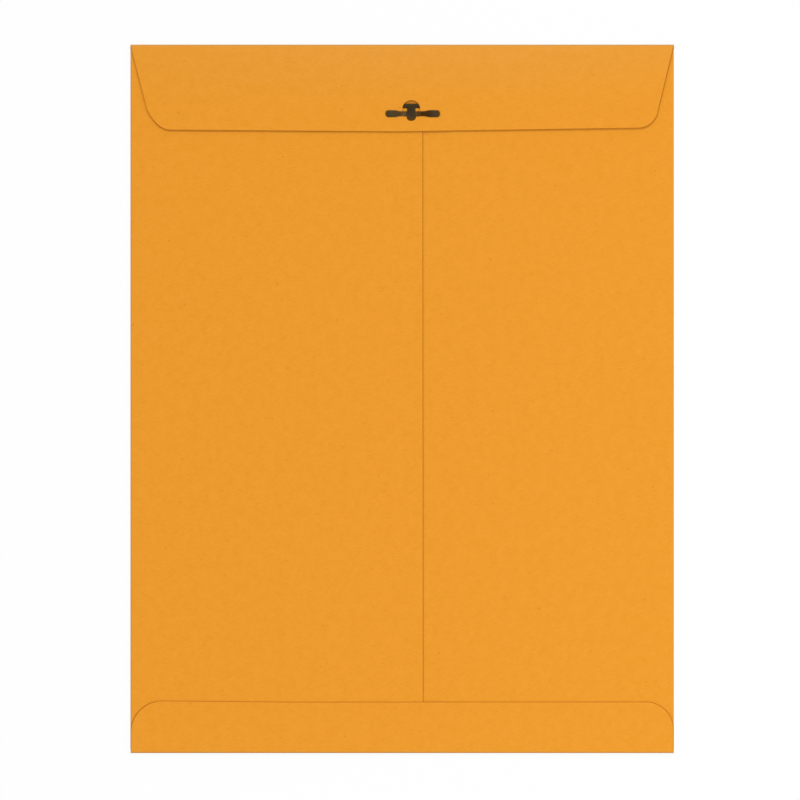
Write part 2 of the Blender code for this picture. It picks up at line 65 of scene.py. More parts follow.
ACROSS, ALONG, UP = (1, 0, 0), (0, 1, 0), (0, 0, 1)
FACING = 0.9  # a face looks along an axis where its normal has more of it than this
SHARP_TURN = math.radians(40)  # a surface that turns by more than this has an edge
RIM_TURN = math.radians(50)  # the same on a crowned prong

# Photograph: size of a pixel on the envelope, pixels across, and the pixel at the envelope's middle
PIXEL = 0.46697 * MM
FRAME_PIXELS = 800
MIDDLE_PIXEL = (402.14, 398.85)
LENS = 300  # long and far away, so that what stands up hardly leans
SENSOR = 36

# Paper as the solids have it: folds from their boxes, cut edges repeated from the source
PAPER = 0.15 * MM
HALF_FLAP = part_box("flap_fold")[1].x
HALF_BOTTOM_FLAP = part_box("bottom_fold")[1].x
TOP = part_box("flap_fold")[1].y
LEFT_FOLD_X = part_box("left_side_fold")[1].x
RIGHT_FOLD_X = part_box("right_side_fold")[0].x
BOTTOM_FOLD_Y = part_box("bottom_fold")[1].y
FLAP_FOLD_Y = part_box("flap_fold")[0].y
PANEL_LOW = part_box("left_side_fold")[0].y
PANEL_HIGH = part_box("left_side_fold")[1].y
# Middle radius of each crease, from the front panel up to the paper that is folded over
LEFT_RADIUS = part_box("left_back_panel")[0].z / 2
RIGHT_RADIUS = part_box("right_back_panel")[0].z / 2
BOTTOM_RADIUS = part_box("bottom_flap")[0].z / 2
FLAP_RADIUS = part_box("seal_flap")[0].z / 2
THROAT_Y = TOP - 9.5 * MM
SHOULDER_RUN = 24 * MM
SHOULDER_ROUND = 8 * MM
SEAM_X_TOP = 9.66 * MM
SEAM_X_BOTTOM = 9.92 * MM
SEAM_OVERLAP = 22 * MM
SEAM_PASTE_INSET = 1.5 * MM
FLAP_LEFT = Vector((-116.65, 125.495)) * MM
FLAP_POINT = Vector((-2.3, 124.675)) * MM
FLAP_RIGHT = Vector((117.55, 126.495)) * MM
FLAP_ROUND_RIGHT = 8.9 * MM
FLAP_ROUND_LEFT = 8 * MM  # below the cut that takes off the left corner
FLAP_ROUND_LEFT_ABOVE = 14 * MM
FLAP_CUT_BELOW = 5 * MM
FLAP_CUT_ABOVE = 6.9 * MM
GUM_INSET = 3 * MM
GUM_BAND = 20 * MM
PATCH_ROUND = 3 * MM
BOTTOM_FLAP_LEFT = Vector((-HALF_BOTTOM_FLAP, -140.845 * MM))
BOTTOM_FLAP_TURN = Vector((-51, -141.545)) * MM
BOTTOM_FLAP_RIGHT = Vector((HALF_BOTTOM_FLAP, -141.425 * MM))
BOTTOM_FLAP_ROUND_LEFT = 14.7 * MM
BOTTOM_FLAP_ROUND_RIGHT = 12.9 * MM
BOTTOM_PASTE_INSET = 4 * MM
RIDGE_HALF = 0.35 * MM  # half the height over which the flap's crease turns from the pocket to the flap

# Edges that let flat paper curve: their spacing, and their number round a corner and across a crease
GRID = 7 * MM
FINE_GRID = 1.5 * MM
CORNER_STEPS = 14
CREASE_STEPS = 20

# How the paper stands up where nothing holds it. A pair is where a change starts and where it is full
SEAM_CURL = 0.12 * MM
SEAM_CURL_REACH = 6 * MM
SEAM_FREE_LOW = (-147 * MM, -139 * MM)
SEAM_FREE_HIGH = (128 * MM, 124 * MM)
FLAP_CURL_REACH = 4.5 * MM
BOTTOM_FLAP_CURL = 0.04 * MM
BOTTOM_FLAP_FREE = (-5 * MM, 3 * MM)  # up from where its round corners start
SWELL = 0.3 * MM
SWELL_SIDES = (0, 60 * MM)  # in from the side folds
SWELL_LOW = (-140 * MM, -60 * MM)
SWELL_HIGH = (118 * MM, 50 * MM)
SWELL_RIPPLE = 0.3  # of the swell
SWELL_RIPPLE_X, SWELL_RIPPLE_Y = 31 * MM, 47 * MM
SWELL_RIPPLE_TURN = 1.3
RIGHT_RISE = 0.24 * MM
RIGHT_RISE_SEAM = (2 * MM, 16 * MM)  # right of the seam
RIGHT_RISE_FOLD = (0, 7 * MM)  # in from the right fold
FLAP_LIFT = 0.1 * MM
FLAP_HELD = 38 * MM  # to either side, by the clasp's prongs
FLAP_CURL = 0.1 * MM
FLAP_CURL_LESS = 0.02 * MM
FLAP_CURL_FALL = (0, 40 * MM)  # to the right
FLAP_RIPPLE = 0.4  # of the curl
FLAP_RIPPLE_X = -42 * MM
FLAP_RIPPLE_LENGTH = 8.1 * MM
FLAP_RIPPLE_FREE = (60 * MM, -20 * MM)
RIM_LIFT = 0.3 * MM  # over the clasp's bar, which pushes up the hole's upper rim
RIM_RISE = 8 * MM  # from the prongs' middle line up to that rim
RIM_ACROSS = 7 * MM
RIM_ALONG = 3 * MM

# Marks of making and use, with painted shade and painted sheen among them, as shares that the paper's colour
# takes up
CUT_EDGE = 0.3 * MM  # width of the dark strip along every cut: fibres that the die has crushed, with painted edge shade
BOTTOM_FLAP_CRUSH_AND_SHADE = 0.8
BOTTOM_CORNER_SHADE = 1.0  # painted edge shade added towards its corners
BOTTOM_CORNER_RUN = (14 * MM, 4 * MM)  # in from the flap's sides
FLAP_CRUSH_AND_SHADE_LEFT = 0.45
FLAP_CRUSH_AND_SHADE_RIGHT = 0.8
FLAP_CRUSH_AND_SHADE_RUN = (20 * MM, 2 * MM)  # up from the flap's point
CREASE_WEAR_FADE = (0.28, 0.5)  # of the crease's width, out from its middle
# Painted shade on the paper seen through the clasp's hole, above its bar
HOLE_SHADE = 0.4
HOLE_SHADE_LOW = (1.5 * MM, 4 * MM)  # up from the prongs' middle line
HOLE_SHADE_FADE = (4 * MM, 8 * MM)  # out from the bar's upper edge
# Painted sheen on the flap, strongest near its crease
SHEEN_REACH = 38 * MM  # from the crease down the flap
SHEEN_FALL = 1.5
SHEEN_X = 20 * MM  # where the painted sheen on the flap is strongest
SHEEN_SPREAD = 140 * MM
SHEEN_LEAST = 0.05

# Clasp, about the point where its prongs' middle line crosses its stem
CLASP = Vector((4.25, 133.125)) * MM
METAL = 0.3 * MM
EDGE_ROUND = 0.06 * MM
EDGE_STEPS = 2
BAR_HALF = 4.6 * MM
BAR_LOW = 2.6 * MM
BAR_HIGH = 4.7 * MM
STEM_HALF = 2 * MM
TAB_HALF = 2.5 * MM
TAB_TOP = -1.25 * MM
TAB_END = -4.15 * MM
CLASP_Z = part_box("clasp_base")[1].z - METAL
CLINCH_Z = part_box("clasp_base")[0].z
TOOTH_TIP = 1.2 * MM
SLIT = 0.1 * MM
HOLE_HALF = 4.2 * MM
HOLE_TOP = 6.3 * MM
HOLE_SHOULDER = -1.4 * MM
HOLE_SHOULDER_ROUND = 0.9 * MM
LOBE_HALF = 2.25 * MM
LOBE_END = -3.35 * MM
LOBE_ROUND = HOLE_SHOULDER - LOBE_END
PRONG_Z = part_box("clasp_prong_left")[1].z - METAL / 2
PRONG_BASE_Z = CLASP_Z + METAL / 2
PRONG_REACH_LEFT = 12 * MM
PRONG_REACH_RIGHT = 13.4 * MM
PRONG_RAMP = (2.55 * MM, 3.75 * MM)  # out from the stem's middle
PRONG_WIDENING = (0.42, 0.665)  # of the reach
PRONG_ROOT_HALF = 1.15 * MM
PRONG_END_HALF = 1.625 * MM
PRONG_TIP_ROUND = 1.4 * MM
PRONG_CROWN = 0.08 * MM
PRONG_LINES = 40
PRONG_STRIPS = 4

# Kraft paper: sizes and shares of its patterns, and sRGB colours. A relief is a strength and a depth
NOISE = (0.3, 0.7)  # between which nearly all of a noise lies
KRAFT_TONES = ("EA9823", "EE9C2D")
KRAFT_MOTTLE = 5 * MM
KRAFT_ROUGHNESS = (0.7, 0.85)
KRAFT_GLOSS = 0.15
KRAFT_RELIEF = (0.2, 0.05 * MM)
FIBRE_LENGTH = 2.4 * MM
FIBRE_BEND = 0.4
FIBRE_SEEN = (0.6, 0.75)  # of a noise, from its first trace to its full share
# Real fibres are 0.03 mm wide: these are drawn ten times as wide, to show at the photograph's scale
FIBRES = (  # turn, width, share and colour
    (0.35, 0.4 * MM, 0.13, "FBB24A"),
    (1.75, 0.45 * MM, 0.13, "FBB24A"),
    (1.2, 0.45 * MM, 0.14, "C4741A"),
    (2.7, 0.4 * MM, 0.14, "C4741A"),
)
FLECK_SPACING = 24 * MM
FLECK_EDGE = (0.02, 0.01)  # of the spacing
FLECK_SHARE = 0.3
FLECK_LEFT_OUT = 0.6  # of all flecks
FLECK_TONE = "8F5418"
MARKS = (  # vertex layer, least and greatest share, and colour
    # painted sheen on the flap
    ("rub", 0.1, 0.14, "DBB06F"),
    ("wear", 0.25, 0.5, "B79A6A"),
    # crushed fibres with painted edge shade, and painted shade in the clasp's hole
    ("cut", 1.2, 1.5, "A65C0C"),
)

# Films: dark and light colour, roughness, and the size of a streak across and along the envelope
DRY_GUM = ("D48C2A", "DA9230", 0.5, (40 * MM, 2.5 * MM, 1))
DRIED_PASTE = ("D9C08A", "E6D3A6", 0.5, (1.5 * MM, 30 * MM, 1))
PATCH_PAPER = ("D29240", "D99A49", 0.8, (2 * MM, 2 * MM, 1))
FILM_SMOOTHER, FILM_ROUGHER = 0.08, 0.12
FILM_RELIEF = (0.1, 0.02 * MM)

# Plated steel: its uneven wash, and the lines that rolling left in it
WASH = 3 * MM
WASH_DRIFT = 2 * MM  # to either side, of the colours below
ROLLING = (4 * MM, 0.15 * MM, 0.15 * MM)
STEEL_ROUGHNESS = (0.36, 0.46)
STEEL_RELIEF = (0.06, 0.01 * MM)
TONE_REACH = 14 * MM
# Colours of the plating at millimetres to the right of the stem. Their changes are painted light: highlights at
# the bends, the left prong lighter as a reflection and the right one redder as a reflection of the paper, and the
# stem darker as shade of the hole
PLATING_TONES = (
    (-12, "4A3716"),
    (-8.5, "463D2A"),
    (-5.5, "4B381B"),
    (-3.5, "5D4727"),
    (-2.6, "5A4326"),
    (-1.2, "3A3020"),
    (1.2, "3A3020"),
    (2.6, "594324"),
    (3.6, "50381B"),
    (5.2, "3E270A"),
    (8, "3D2816"),
    (10.6, "413529"),
    (12.4, "4A381C"),
)
# Colours of the bar and the tab, from where each starts to where it is full. The bar's dark tone is painted shade
# of the hole round it
BAR_TONE = (2 * MM, 2.6 * MM, "382F1E")
TAB_TONE = (-1.2 * MM, -3 * MM, "5A3B12")

# Floor and light, in metres, watts and shares of white
FLOOR_HALF = 4
FLOOR_DROP = 0.2 * MM
FLOOR_TONE = "F4F4F4"
FLOOR_ROUGHNESS = 0.9
FLOOR_GLOW = 0.93  # share of its white that the eye sees whatever light falls on it
AMBIENT = 0.563
KEY_PLACE = (-0.3, 1.0, 1.25)
KEY_SHARE = 0.25
KEY_SPREAD = math.radians(18)
FILL_PLACE = (0.85, -0.2, 0.95)
FILL_SIZE = 0.8
FILL_WATTS = 4.8
WHITE = (1, 1, 1, 1)


def linear(hex_colour):
    """sRGB hex as linear red, green, blue and alpha."""
    values = [int(hex_colour[i : i + 2], 16) / 255 for i in (0, 2, 4)]
    return [v / 12.92 if v <= 0.04045 else ((v + 0.055) / 1.055) ** 2.4 for v in values] + [1.0]


def smoothstep(low, high, value):
    """0 before low and 1 past high, with a smooth change between them; low may be the greater."""
    t = min(max((value - low) / (high - low), 0), 1)
    return t * t * (3 - 2 * t)


def bell(distance, spread):
    """1 at no distance, falling away smoothly over a spread."""
    return math.exp(-((distance / spread) ** 2))


def steps(start, reach, count):
    """Even steps past a start, the last of them at its reach."""
    return [start + reach * i / count for i in range(1, count + 1)]


def grid_lines(low, high):
    """Even places between two ends, no further apart than the grid."""
    return steps(low, high - low, math.ceil((high - low) / GRID))[:-1]


# Flat paper


def rounded_face(sheet, outline):
    """One flat face from the corners of its outline: x, y and rounding radius."""
    known = set(sheet.faces)
    corners = [sheet.verts.new((x, y, 0)) for x, y, _ in outline]
    sheet.faces.new(corners)
    for i, (x, y, radius) in enumerate(outline):
        if not radius:
            continue
        here = Vector((x, y))
        arriving = here - Vector(outline[i - 1][:2])
        leaving = Vector(outline[(i + 1) % len(outline)][:2]) - here
        bmesh.ops.bevel(
            sheet,
            geom=[corners[i]],
            offset=radius * math.tan(arriving.angle(leaving) / 2),
            offset_type="OFFSET",
            segments=CORNER_STEPS,
            profile=0.5,
            affect="VERTICES",
            material=-1,
            clamp_overlap=False,
        )
    bmesh.ops.remove_doubles(sheet, verts=sheet.verts[:], dist=WELD)
    return next(face for face in sheet.faces if face not in known)


def die_cut(outlines, edge_crush_and_shade=lambda x, y: 1):
    """Flat paper from its outline and those of its holes. The vertex layer that it fills tells along the outline
    how dark to draw the cut edge: fibres that the die has crushed, with painted shade where the edge throws its
    shadow."""
    sheet = bmesh.new()
    paper = rounded_face(sheet, outlines[0])
    bmesh.ops.inset_individual(sheet, faces=[paper], thickness=CUT_EDGE, use_even_offset=True)
    cut = sheet.verts.layers.float.new("cut")
    for v in sheet.verts:
        if v.is_boundary:
            # dark strip at the cut: crushed fibres and painted edge shade
            v[cut] = edge_crush_and_shade(v.co.x, v.co.y)
    bmesh.ops.delete(sheet, geom=[paper], context="FACES_ONLY")
    for hole in outlines[1:]:
        bmesh.ops.delete(sheet, geom=[rounded_face(sheet, hole)], context="FACES_ONLY")
    inner = [e for e in sheet.edges if len(e.link_faces) < 2 and not e.verts[0][cut]]
    bmesh.ops.triangle_fill(sheet, use_beauty=True, edges=inner)
    bmesh.ops.reverse_faces(sheet, faces=[f for f in sheet.faces if f.normal.z < 0])
    return sheet


def cut_size(sheet):
    xs, ys = ([v.co[axis] for v in sheet.verts] for axis in (0, 1))
    return {
        "flat": (max(xs) - min(xs), max(ys) - min(ys)),
        "area": sum(face.calc_area() for face in sheet.faces),
    }


def score(sheet, direction, places):
    """Lines of edges across the sheet, for it to bend along."""
    for place in places:
        geometry = sheet.verts[:] + sheet.edges[:] + sheet.faces[:]
        co = Vector(direction) * place
        bmesh.ops.bisect_plane(sheet, geom=geometry, dist=WELD, plane_co=co, plane_no=direction)


def thicken(sheet, low, thickness):
    """The flat sheet made solid from a height up, with its flat place kept as a map in metres."""
    bmesh.ops.remove_doubles(sheet, verts=sheet.verts[:], dist=WELD)
    bmesh.ops.solidify(sheet, geom=sheet.faces[:], thickness=thickness)
    base = min(v.co.z for v in sheet.verts)
    bmesh.ops.translate(sheet, verts=sheet.verts[:], vec=(0, 0, low - base))
    bmesh.ops.recalc_face_normals(sheet, faces=sheet.faces[:])
    flat = sheet.loops.layers.uv.new("flat")
    for face in sheet.faces:
        for corner in face.loops:
            corner[flat].uv = corner.vert.co.xy


def piece(name, mesh_source, material, **attributes):
    """A finished bmesh as an object at the origin, with sharp edges where the surface turns sharply."""
    mesh = bpy.data.meshes.new(name)
    mesh_source.to_mesh(mesh)
    mesh_source.free()
    for attribute, values in attributes.items():
        mesh.attributes.new(attribute, "FLOAT", "POINT").data.foreach_set("value", values)
    mesh.shade_smooth()
    mesh.set_sharp_from_angle(angle=SHARP_TURN)
    mesh.materials.append(material)
    made = bpy.data.objects.new(name, mesh)
    bpy.context.scene.collection.objects.link(made)
    return made


# Folds


def unfolded(line, radius, sign):
    """A function that tells where a place on paper folded over at a line lies on the flat sheet."""

    def flat_place(place):
        return 2 * line + sign * math.pi * radius - place

    return flat_place


flat_left = unfolded(LEFT_FOLD_X, LEFT_RADIUS, -1)
flat_right = unfolded(RIGHT_FOLD_X, RIGHT_RADIUS, 1)
flat_bottom = unfolded(BOTTOM_FOLD_Y, BOTTOM_RADIUS, -1)
flat_flap = unfolded(FLAP_FOLD_Y, FLAP_RADIUS, 1)


def folded(across, height, line, radius):
    """Where a point of the flat sheet goes when the paper past a line is turned up and over."""
    beyond = across - line
    if beyond <= 0:
        return across, height
    angle = min(beyond / radius, math.pi)
    rest = beyond - angle * radius
    reach = radius + PAPER / 2 - height
    return line + reach * math.sin(angle) - rest, PAPER / 2 + radius - reach * math.cos(angle)


def crease_wear(beyond, radius):
    """How much the paper at a distance past a fold line is worn: most at the outside of the fold."""
    return 1 - smoothstep(*CREASE_WEAR_FADE, abs(beyond / (math.pi * radius) - 0.5))


def crease_lines(line, radius, sign):
    """Places to score for a smooth crease."""
    return [line + sign * math.pi * radius * i / CREASE_STEPS for i in range(CREASE_STEPS + 1)]


# How the paper lies


def seam_x(y):
    """The seam's place across the envelope, which leans a little."""
    share = (y - PANEL_LOW) / (THROAT_Y - PANEL_LOW)
    return SEAM_X_BOTTOM + share * (SEAM_X_TOP - SEAM_X_BOTTOM)


def edge_y(point, left, right, x):
    """Height of a flap's edge at x, which runs straight from a point to a corner on either side."""
    corner = left if x < point.x else right
    return point.y + (x - point.x) / (corner.x - point.x) * (corner.y - point.y)


def edge_curl(distance, reach, height):
    """Rise of a cut edge that nothing holds down, at a distance in from it."""
    return height * (1 - smoothstep(0, reach, distance))


def seam_curl(x, y):
    """The left panel's edge stands a little off the right panel, between the two flaps."""
    between = smoothstep(*SEAM_FREE_LOW, y) * smoothstep(*SEAM_FREE_HIGH, y)
    return edge_curl(seam_x(y) - x, SEAM_CURL_REACH, SEAM_CURL) * between


def bottom_flap_curl(x, y):
    """The bottom flap's upper edge and round corners stand up, past its paste."""
    radius = BOTTOM_FLAP_ROUND_LEFT if x < 0 else BOTTOM_FLAP_ROUND_RIGHT
    over = abs(x) - (HALF_BOTTOM_FLAP - radius)
    up = y - (edge_y(BOTTOM_FLAP_TURN, BOTTOM_FLAP_LEFT, BOTTOM_FLAP_RIGHT, x) - radius)
    distance = radius - (math.hypot(over, up) if over > 0 and up > 0 else max(over, up))
    return edge_curl(distance, FLAP_CURL_REACH, BOTTOM_FLAP_CURL) * smoothstep(*BOTTOM_FLAP_FREE, up)


def panel_swell(x, y):
    """How far the back stands up between its folds and flaps, where nothing holds it down."""
    sides = smoothstep(*SWELL_SIDES, x - LEFT_FOLD_X) * smoothstep(*SWELL_SIDES, RIGHT_FOLD_X - x)
    ends = smoothstep(*SWELL_LOW, y) * smoothstep(*SWELL_HIGH, y)
    wave = math.sin(x / SWELL_RIPPLE_X + SWELL_RIPPLE_TURN) * math.cos(y / SWELL_RIPPLE_Y)
    return SWELL * sides * ends * (1 + SWELL_RIPPLE * wave)


def right_panel_rise(x, y):
    """Past the seam, the right panel springs up to the level of the left one."""
    from_seam = smoothstep(*RIGHT_RISE_SEAM, x - seam_x(y))
    return RIGHT_RISE * from_seam * smoothstep(*RIGHT_RISE_FOLD, RIGHT_FOLD_X - x)


def flap_lift(x, y):
    """How far the closed seal flap stands up: towards its free edge, away from the clasp's prongs, and at the
    upper rim of its hole, which the clasp's bar pushes up."""
    down = max((FLAP_FOLD_Y - y) / (FLAP_FOLD_Y - FLAP_POINT.y), 0)
    free = 1 - bell(x - CLASP.x, FLAP_HELD)
    over_bar = bell(x - CLASP.x, RIM_ACROSS) * bell(y - CLASP.y - RIM_RISE, RIM_ALONG)
    wave = math.cos((x - FLAP_RIPPLE_X) / FLAP_RIPPLE_LENGTH) * smoothstep(*FLAP_RIPPLE_FREE, x)
    curl = (FLAP_CURL - FLAP_CURL_LESS * smoothstep(*FLAP_CURL_FALL, x)) * (1 + FLAP_RIPPLE * wave)
    from_edge = y - edge_y(FLAP_POINT, FLAP_LEFT, FLAP_RIGHT, x)
    lift = FLAP_LIFT * down**2 * free + RIM_LIFT * over_bar
    return lift + edge_curl(from_edge, FLAP_CURL_REACH, curl)


# Body and seal flap


def hole_shade(x, y):
    """How much painted shade lies on the paper seen through the hole, round the upper edge of the clasp's bar."""
    up = y - CLASP.y
    fade = smoothstep(*HOLE_SHADE_FADE, math.hypot(x - CLASP.x, up - BAR_HIGH))
    return HOLE_SHADE * smoothstep(*HOLE_SHADE_LOW, up) * (1 - fade)


def tooth_slits(flat=lambda x: x):
    """Outlines of the two slits for the clasp's teeth, their x placed on the flat sheet."""
    slits = []
    half = METAL / 2 + SLIT
    low, high = CLASP.y + BAR_LOW - SLIT, CLASP.y + BAR_HIGH + SLIT
    for side in (-1, 1):
        middle = CLASP.x + side * (BAR_HALF - METAL / 2)
        corners = ((-half, low), (half, low), (half, high), (-half, high))
        slits.append([(flat(middle + x), y, 0) for x, y in corners])
    return slits


def hole_outline(flat=lambda y: y):
    """The punched hole, round above and with a round lobe below, its y placed on the flat sheet."""
    corners = [
        (HOLE_HALF, HOLE_TOP, HOLE_HALF),
        (-HOLE_HALF, HOLE_TOP, HOLE_HALF),
        (-HOLE_HALF, HOLE_SHOULDER, HOLE_SHOULDER_ROUND),
        (-LOBE_HALF, HOLE_SHOULDER, 0),
        (-LOBE_HALF, LOBE_END, LOBE_ROUND),
        (LOBE_HALF, LOBE_END, LOBE_ROUND),
        (LOBE_HALF, HOLE_SHOULDER, 0),
        (HOLE_HALF, HOLE_SHOULDER, HOLE_SHOULDER_ROUND),
    ]
    return [(CLASP.x + x, flat(CLASP.y + y), radius) for x, y, radius in corners]


def body_outline():
    """The body's blank from the bottom flap round by the right panel, the mouth and the left panel."""
    return [
        (-HALF_BOTTOM_FLAP, flat_bottom(BOTTOM_FLAP_LEFT.y), BOTTOM_FLAP_ROUND_LEFT),
        (BOTTOM_FLAP_TURN.x, flat_bottom(BOTTOM_FLAP_TURN.y), 0),
        (HALF_BOTTOM_FLAP, flat_bottom(BOTTOM_FLAP_RIGHT.y), BOTTOM_FLAP_ROUND_RIGHT),
        (HALF_BOTTOM_FLAP, BOTTOM_FOLD_Y, 0),
        (RIGHT_FOLD_X, PANEL_LOW, 0),
        (flat_right(seam_x(PANEL_LOW) - SEAM_OVERLAP), PANEL_LOW, 0),
        (flat_right(seam_x(THROAT_Y) - SEAM_OVERLAP), THROAT_Y, 0),
        (flat_right(RIGHT_FOLD_X - SHOULDER_RUN), THROAT_Y, SHOULDER_ROUND),
        (flat_right(RIGHT_FOLD_X), PANEL_HIGH, 0),
        (RIGHT_FOLD_X, PANEL_HIGH, 0),
        (HALF_FLAP, PANEL_HIGH + SLIT, 0),
        (HALF_FLAP, FLAP_FOLD_Y, 0),
        (-HALF_FLAP, FLAP_FOLD_Y, 0),
        (-HALF_FLAP, PANEL_HIGH + SLIT, 0),
        (LEFT_FOLD_X, PANEL_HIGH, 0),
        (flat_left(LEFT_FOLD_X), PANEL_HIGH, 0),
        (flat_left(LEFT_FOLD_X + SHOULDER_RUN), THROAT_Y, SHOULDER_ROUND),
        (flat_left(seam_x(THROAT_Y)), THROAT_Y, 0),
        (flat_left(seam_x(PANEL_LOW)), PANEL_LOW, 0),
        (LEFT_FOLD_X, PANEL_LOW, 0),
        (-HALF_BOTTOM_FLAP, BOTTOM_FOLD_Y, 0),
    ]


def body_crush_and_shade(x, y):
    """How dark the body's cut edges are drawn, for fibres the die crushed and painted edge shade: the bottom
    flap's darkest at its corners.
    """
    if y >= BOTTOM_FOLD_Y:
        return 1
    return BOTTOM_FLAP_CRUSH_AND_SHADE + BOTTOM_CORNER_SHADE * smoothstep(*BOTTOM_CORNER_RUN, HALF_BOTTOM_FLAP - abs(x))


def score_body(blank, outline):
    """Edges for the body's creases, curled edges, springing right panel, painted shade round the clasp's bar and
    swell.
    """
    score(blank, ACROSS, crease_lines(LEFT_FOLD_X, LEFT_RADIUS, -1))
    score(blank, ACROSS, crease_lines(RIGHT_FOLD_X, RIGHT_RADIUS, 1))
    score(blank, ALONG, crease_lines(BOTTOM_FOLD_Y, BOTTOM_RADIUS, -1))
    score(blank, ACROSS, steps(flat_left(SEAM_X_TOP), SEAM_CURL_REACH, count=6))
    flap_edge = flat_bottom(BOTTOM_FLAP_TURN.y)
    score(blank, ALONG, steps(flap_edge, FLAP_CURL_REACH, count=5))
    score(blank, ACROSS, steps(-HALF_BOTTOM_FLAP, BOTTOM_FLAP_ROUND_LEFT, count=9))
    score(blank, ACROSS, steps(HALF_BOTTOM_FLAP, -BOTTOM_FLAP_ROUND_RIGHT, count=9))
    score(blank, ALONG, steps(flap_edge + FLAP_CURL_REACH, 6 * FINE_GRID, count=6))
    score(blank, ACROSS, [flat_right(x) for x in steps(RIGHT_FOLD_X, -RIGHT_RISE_FOLD[1], count=2)])
    score(blank, ACROSS, [flat_right(x) for x in steps(SEAM_X_BOTTOM, RIGHT_RISE_SEAM[1], count=4)])
    score(blank, ACROSS, [flat_left(CLASP.x + FINE_GRID * i) for i in range(-5, 6)])
    score(blank, ALONG, steps(CLASP.y, 8 * FINE_GRID, count=8))
    xs, ys, _ = zip(*outline)
    score(blank, ACROSS, grid_lines(min(xs), max(xs)))
    score(blank, ALONG, grid_lines(min(ys), max(ys)))


def fold_body(blank):
    """Folds the side panels and the bottom flap up over the back, and tells how worn the paper is."""
    wear = []
    cut = blank.verts.layers.float["cut"]
    for v in blank.verts:
        x, y, z = v.co
        beside = PANEL_LOW - NEAR <= y <= PANEL_HIGH + NEAR
        left_wear = crease_wear(LEFT_FOLD_X - x, LEFT_RADIUS) * beside
        right_wear = crease_wear(x - RIGHT_FOLD_X, RIGHT_RADIUS) * beside
        wear.append(max(left_wear, right_wear, crease_wear(BOTTOM_FOLD_Y - y, BOTTOM_RADIUS)))
        if beside and x > RIGHT_FOLD_X:
            v.co.x, v.co.z = folded(x, z, RIGHT_FOLD_X, RIGHT_RADIUS)
            v.co.z += panel_swell(v.co.x, y) + right_panel_rise(v.co.x, y)
        elif beside and x < LEFT_FOLD_X:
            turned, v.co.z = folded(-x, z, -LEFT_FOLD_X, LEFT_RADIUS)
            v.co.x = -turned
            # painted shade in the hole above the clasp's bar
            v[cut] = max(v[cut], hole_shade(v.co.x, y))
            v.co.z += panel_swell(v.co.x, y) + seam_curl(v.co.x, y)
        elif y < BOTTOM_FOLD_Y:
            turned, v.co.z = folded(-y, z, -BOTTOM_FOLD_Y, BOTTOM_RADIUS)
            v.co.y = -turned
            v.co.z += bottom_flap_curl(x, v.co.y)
    return wear


def envelope_body(material):
    """Front panel, side panels and bottom flap: one blank, cut flat, creased and folded up over the back."""
    outline = body_outline()
    blank = die_cut([outline, *tooth_slits(flat_left), *tooth_slits(flat_right)], body_crush_and_shade)
    size = cut_size(blank)
    score_body(blank, outline)
    thicken(blank, 0, PAPER)
    wear = fold_body(blank)
    return piece("envelope_body", blank, material, wear=wear, rub=[0.0] * len(wear)), size


def flap_outline():
    """The seal flap's blank from its fold line, with its left corner cut off and rounded in two turns."""

    def side_x(corner):
        end = math.copysign(HALF_FLAP, corner.x)
        return end + (corner.x - end) * (TOP - FLAP_FOLD_Y) / (TOP - corner.y)

    cut_below = FLAP_LEFT + (FLAP_POINT - FLAP_LEFT).normalized() * FLAP_CUT_BELOW
    cut_above = FLAP_LEFT + (Vector((-HALF_FLAP, TOP)) - FLAP_LEFT).normalized() * FLAP_CUT_ABOVE
    return [
        (-HALF_FLAP, FLAP_FOLD_Y, 0),
        (HALF_FLAP, FLAP_FOLD_Y, 0),
        (side_x(FLAP_RIGHT), flat_flap(FLAP_FOLD_Y), 0),
        (FLAP_RIGHT.x, flat_flap(FLAP_RIGHT.y), FLAP_ROUND_RIGHT),
        (FLAP_POINT.x, flat_flap(FLAP_POINT.y), 0),
        (cut_below.x, flat_flap(cut_below.y), FLAP_ROUND_LEFT),
        (cut_above.x, flat_flap(cut_above.y), FLAP_ROUND_LEFT_ABOVE),
        (side_x(FLAP_LEFT), flat_flap(FLAP_FOLD_Y), 0),
    ]


def flap_crush_and_shade(x, y):
    """How dark the flap's cut edges are drawn, for crushed fibres and painted edge shade: fully at its lower
    edge, less at its sides.
    """
    lower_edge = smoothstep(*FLAP_CRUSH_AND_SHADE_RUN, flat_flap(FLAP_POINT.y) - y)
    return max(lower_edge, FLAP_CRUSH_AND_SHADE_LEFT if x < 0 else FLAP_CRUSH_AND_SHADE_RIGHT)


def score_flap(flap):
    """Edges for the flap's crease, curled lower edge and the rim that the clasp's bar pushes up."""
    edge = flat_flap(FLAP_POINT.y)
    score(flap, ALONG, crease_lines(FLAP_FOLD_Y, FLAP_RADIUS, 1))
    score(flap, ACROSS, grid_lines(-HALF_FLAP, HALF_FLAP))
    score(flap, ALONG, grid_lines(flat_flap(FLAP_FOLD_Y), edge))
    score(flap, ALONG, steps(edge, -3.5 * FINE_GRID, count=7))
    score(flap, ACROSS, [CLASP.x + 2 * RIM_ACROSS * i / 7 for i in range(-7, 8)])
    score(flap, ALONG, [flat_flap(CLASP.y + RIM_RISE) - RIM_ALONG * i / 3 for i in range(-5, 7)])


